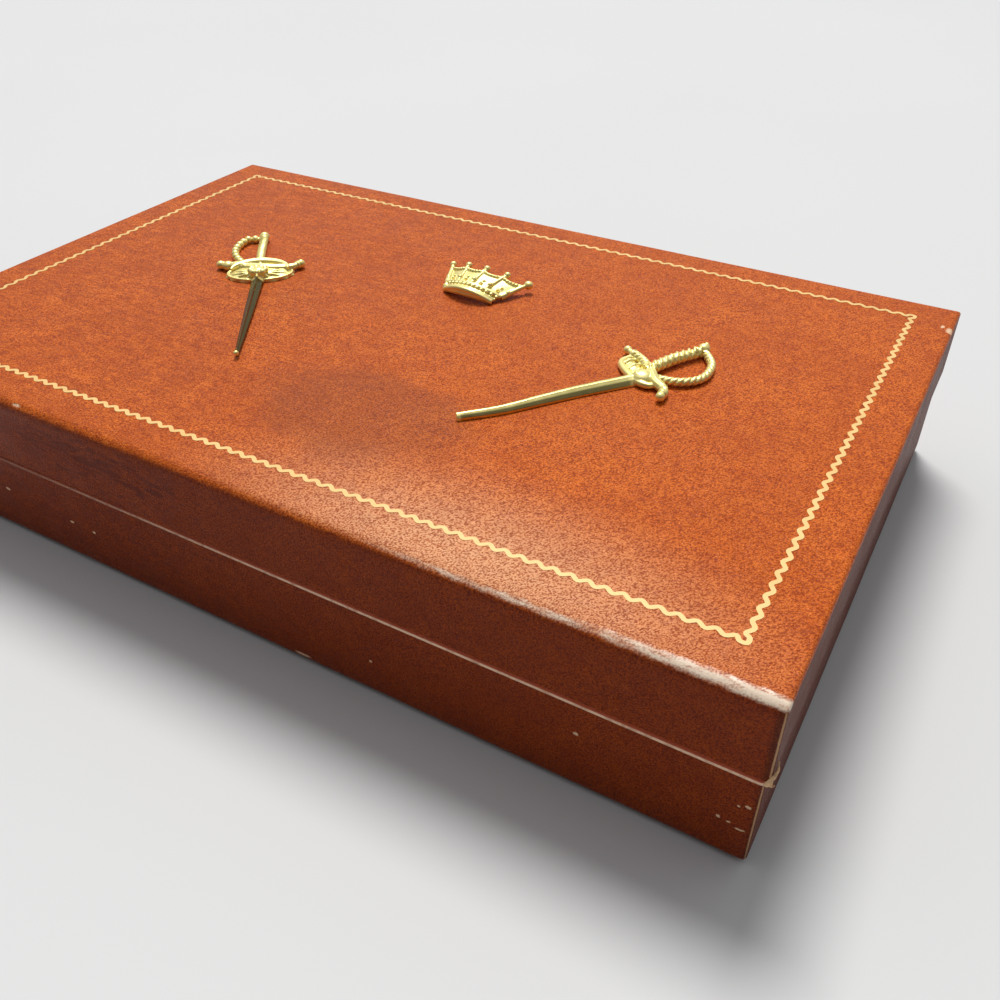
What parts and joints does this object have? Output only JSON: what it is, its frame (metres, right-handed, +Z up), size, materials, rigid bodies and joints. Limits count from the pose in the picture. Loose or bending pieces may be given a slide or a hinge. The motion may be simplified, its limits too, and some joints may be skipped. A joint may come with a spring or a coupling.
{
  "type": "valet box",
  "caption": "Low leatherette-covered wooden valet box with a hinged lid, velvet compartments, ring rolls, and brass sword and crown castings inside a gold zigzag border.",
  "frame": {"origin": "middle of the felt underside, on the surface that the box stands on", "axes": "+X to the right along the long front side, +Y to the back where the hinges are, +Z up"},
  "size_m": [0.28, 0.1813, 0.0575],
  "materials": {
    "leatherette": "glossy antiqued cognac leatherette with a fine pebble grain",
    "board": "bare poplar board, hidden",
    "velvet": "short-pile velvet",
    "satin": "padded gold satin",
    "felt": "matte felt",
    "hinge_brass": "drawn brass",
    "casting_brass": "bright gold-plated casting with dark recesses",
    "gold_foil": "stamped gold foil"
  },
  "bodies": {
    "base": {"base_wrap": "leatherette", "base_front_board": "board", "base_back_board": "board", "base_left_board": "board", "base_right_board": "board", "base_bottom_board": "board", "bottom_felt": "felt", "base_liner": "velvet", "long_divider": "velvet", "cross_divider": "velvet", "front_divider": "velvet", "ring_roll_1": "velvet", "ring_roll_2": "velvet", "ring_roll_3": "velvet", "base_left_hinge_leaf": "hinge_brass", "base_right_hinge_leaf": "hinge_brass", "base_left_screw_1": "hinge_brass", "base_left_screw_2": "hinge_brass", "base_right_screw_1": "hinge_brass", "base_right_screw_2": "hinge_brass", "left_hinge_pin": "hinge_brass", "right_hinge_pin": "hinge_brass"},
    "lid": {"lid_wrap": "leatherette", "lid_top_board": "board", "lid_front_board": "board", "lid_back_board": "board", "lid_left_board": "board", "lid_right_board": "board", "lid_wall_liner": "velvet", "lid_pad": "satin", "lid_left_hinge_leaf": "hinge_brass", "lid_right_hinge_leaf": "hinge_brass", "lid_left_screw_1": "hinge_brass", "lid_left_screw_2": "hinge_brass", "lid_right_screw_1": "hinge_brass", "lid_right_screw_2": "hinge_brass", "gold_border": "gold_foil", "smallsword": "casting_brass", "sabre": "casting_brass", "crown": "casting_brass"}
  },
  "joints": [
    {"name": "lid_hinge", "type": "hinge", "parent": "base", "child": "lid", "pos_m": [0, 0.0908, 0.0291], "axis": [-1, 0, 0], "range_deg": [0, 100]}
  ]
}
